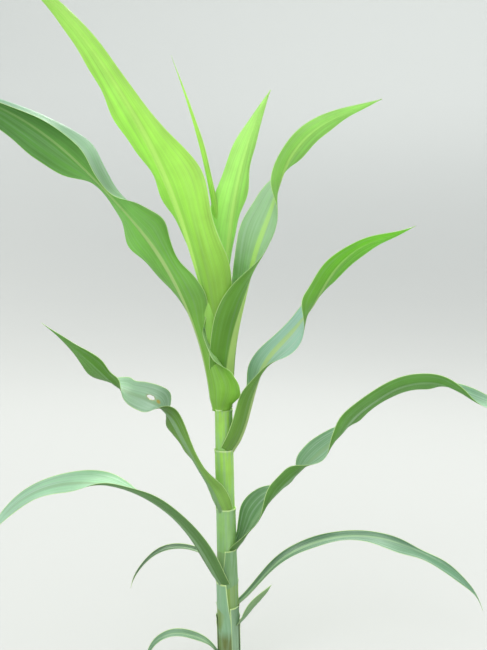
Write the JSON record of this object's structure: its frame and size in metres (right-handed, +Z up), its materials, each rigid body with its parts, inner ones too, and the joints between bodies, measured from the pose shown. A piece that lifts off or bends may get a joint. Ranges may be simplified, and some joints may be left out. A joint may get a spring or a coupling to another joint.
{
  "type": "maize plant",
  "caption": "Young rooted maize plant: a leaning stalk wrapped in leaf sheaths, with long arching leaves in two ranks and a whorl of upright young leaves at the top.",
  "frame": {"origin": "centre of the flat cut under the stalk, at ground level", "axes": "+Z up the plant; the two ranks of leaves spread along -X and +X; -Y is the front, the side that the plant is seen from"},
  "size_m": [0.8093, 0.1425, 0.9524],
  "materials": {
    "stalk": "satin living green sheath",
    "leaf": "satin green blade with a pale midrib",
    "young_leaf": "satin yellow-green blade with a pale midrib"
  },
  "bodies": {
    "root": {"stalk": "stalk", "leaf_01_inner": "leaf", "leaf_01_outer": "leaf", "leaf_02": "leaf", "leaf_03_inner": "leaf", "leaf_03_outer": "leaf", "leaf_04_inner": "leaf", "leaf_04_outer": "leaf", "leaf_05_inner": "leaf", "leaf_05_outer": "leaf", "leaf_06_inner": "leaf", "leaf_06_outer": "leaf", "leaf_07_inner": "leaf", "leaf_07_outer": "leaf", "leaf_08_inner": "leaf", "leaf_08_outer": "leaf", "leaf_09_inner": "leaf", "leaf_09_outer": "leaf", "leaf_10_inner": "young_leaf", "leaf_10_outer": "young_leaf", "leaf_11_inner": "young_leaf", "leaf_11_outer": "young_leaf", "leaf_12": "young_leaf", "leaf_13": "young_leaf"}
  },
  "joints": []
}
